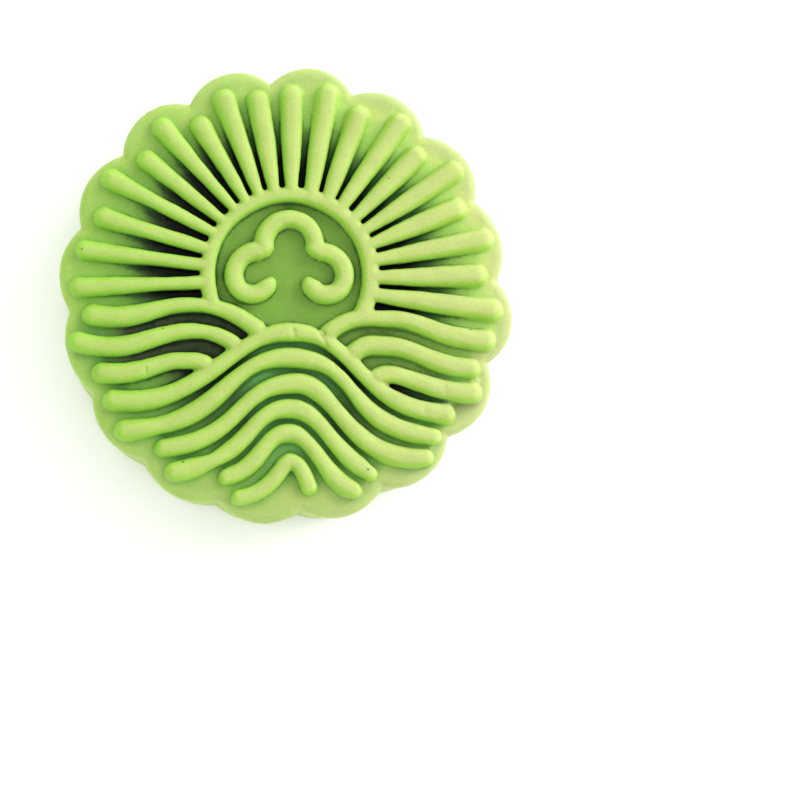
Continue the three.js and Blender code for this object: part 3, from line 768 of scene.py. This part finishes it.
top_or_ground = mixed(ranged(how_high, *GROUND_TO_TOP), mixed(rightward, *GROUNDS), mixed(rightward, *TOPS))
colour = mixed(to_shoulder, mixed(rightward, *FLANKS), mixed(rightward, *SHOULDERS))
colour = mixed(to_top, colour, top_or_ground)
from_axis = vector_math("LENGTH", vector_math("MULTIPLY", spot, (1, 1, 0)).outputs["Vector"])
at_rim = times(ranged(from_axis.outputs["Value"], *INNER_TO_RIM), ranged(how_high, *TOP_TO_RIM))
colour = mixed(at_rim, colour, mixed(rightward, *RIMS))
colour = mixed(ranged(how_high, *SIDE_TO_RIM), mixed(rightward, *SIDES), colour)
# Over these the painted shade of the grooves, and the filling where it shows.
groove_shade_and_filling = node("ShaderNodeAttribute", attribute_name="groove")
colour = mixed(groove_shade_and_filling.outputs["Alpha"], colour, groove_shade_and_filling.outputs["Color"])

# Kneaded dough is never quite even: slow mottling, a fine grain and a few dark specks of leaf. Each
# unevenness has its waves to the metre, its detail, and how far it dims and brightens the colour.
MOTTLE = (260, 3, 0.95, 1.05)
GRAIN = (3400, 2, 0.94, 1.06)
SPECKS_TO_METRE = 300
LEAF = (0.080, 0.130, 0.020)
for scale, detail, dim, bright in (MOTTLE, GRAIN):
    brightness = mixed(ranged(noise(scale, detail), 0.30, 0.70, "LINEAR"), (dim,) * 3, (bright,) * 3)
    colour = vector_math("MULTIPLY", colour, brightness).outputs["Vector"]
cells = node("ShaderNodeTexVoronoi")
links.new(spot, cells.inputs["Vector"])
cells.inputs["Scale"].default_value = SPECKS_TO_METRE
lot = node("ShaderNodeSeparateXYZ")
links.new(cells.outputs["Color"], lot.inputs[0])
in_cell = ranged(cells.outputs["Distance"], 0.085, 0.045)
speck = times(in_cell, ranged(lot.outputs["X"], 0.80, 0.95, "LINEAR"))
colour = mixed(speck, colour, LEAF)

grainy = node("ShaderNodeBump")
grainy.inputs["Strength"].default_value = 0.35
grainy.inputs["Distance"].default_value = 0.00006
links.new(noise(2600, 3), grainy.inputs["Height"])
links.new(grainy.outputs["Normal"], shader.inputs["Normal"])
links.new(colour, shader.inputs["Base Color"])

lean.materials.clear()
lean.materials.append(dough)
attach(cake, "root")
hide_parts("mooncake")


# ---- the table and the light ----
# A plain white table top, a large soft window from the upper right and a pale room all round. The camera
# hangs over the cake and is aimed past it, so that the cake lies at the upper left of the view.
TABLE_HALF = 2.0
TABLE_WHITE = (0.95, 0.95, 0.95, 1)
ROOM_BRIGHTNESS = 1.25
WINDOW_PLACE = Vector((0.50, 0.30, 0.36))
WINDOW_SIZE = 0.50
WINDOW_POWER = 4.2
CAKE_MIDDLE = Vector((0, 0, 0.02))
CAMERA_PLACE = Vector((-0.013285, -0.032696, 0.38632))
CAMERA_AIM = Vector((0.018579, -0.017212, 0.022163))

corners = [(-TABLE_HALF, -TABLE_HALF, 0), (TABLE_HALF, -TABLE_HALF, 0)]
corners += [(TABLE_HALF, TABLE_HALF, 0), (-TABLE_HALF, TABLE_HALF, 0)]
floor_mesh = bpy.data.meshes.new("table_top")
floor_mesh.from_pydata(corners, [], [(0, 1, 2, 3)])
floor = bpy.data.objects.new("table_top", floor_mesh)
bpy.context.scene.collection.objects.link(floor)
floor_paint = bpy.data.materials.new("white table")
floor_paint.use_nodes = True
floor_shader = floor_paint.node_tree.nodes["Principled BSDF"]
floor_shader.inputs["Base Color"].default_value = TABLE_WHITE
floor_shader.inputs["Roughness"].default_value = 0.9
floor_mesh.materials.append(floor_paint)

room = bpy.data.worlds.new("pale room")
room.use_nodes = True
room.node_tree.nodes["Background"].inputs["Color"].default_value = (1, 1, 1, 1)
room.node_tree.nodes["Background"].inputs["Strength"].default_value = ROOM_BRIGHTNESS
bpy.context.scene.world = room

window_light = bpy.data.lights.new("window", "AREA")
window_light.size = WINDOW_SIZE
window_light.energy = WINDOW_POWER
window = bpy.data.objects.new("window", window_light)
window.location = WINDOW_PLACE
window.rotation_mode = "QUATERNION"
window.rotation_quaternion = (CAKE_MIDDLE - WINDOW_PLACE).to_track_quat("-Z", "Y")
bpy.context.scene.collection.objects.link(window)

lens = bpy.data.cameras.new("camera")
lens.lens = 100
lens.sensor_width = 36
lens.clip_start = 0.01
camera = bpy.data.objects.new("camera", lens)
camera.location = CAMERA_PLACE
back = (CAMERA_PLACE - CAMERA_AIM).normalized()
right = Vector((0, 1, 0)).cross(back).normalized()
camera.rotation_mode = "QUATERNION"
camera.rotation_quaternion = Matrix((right, back.cross(right), back)).transposed().to_quaternion()
bpy.context.scene.collection.objects.link(camera)
bpy.context.scene.camera = camera
bpy.context.scene.view_settings.view_transform = "Standard"
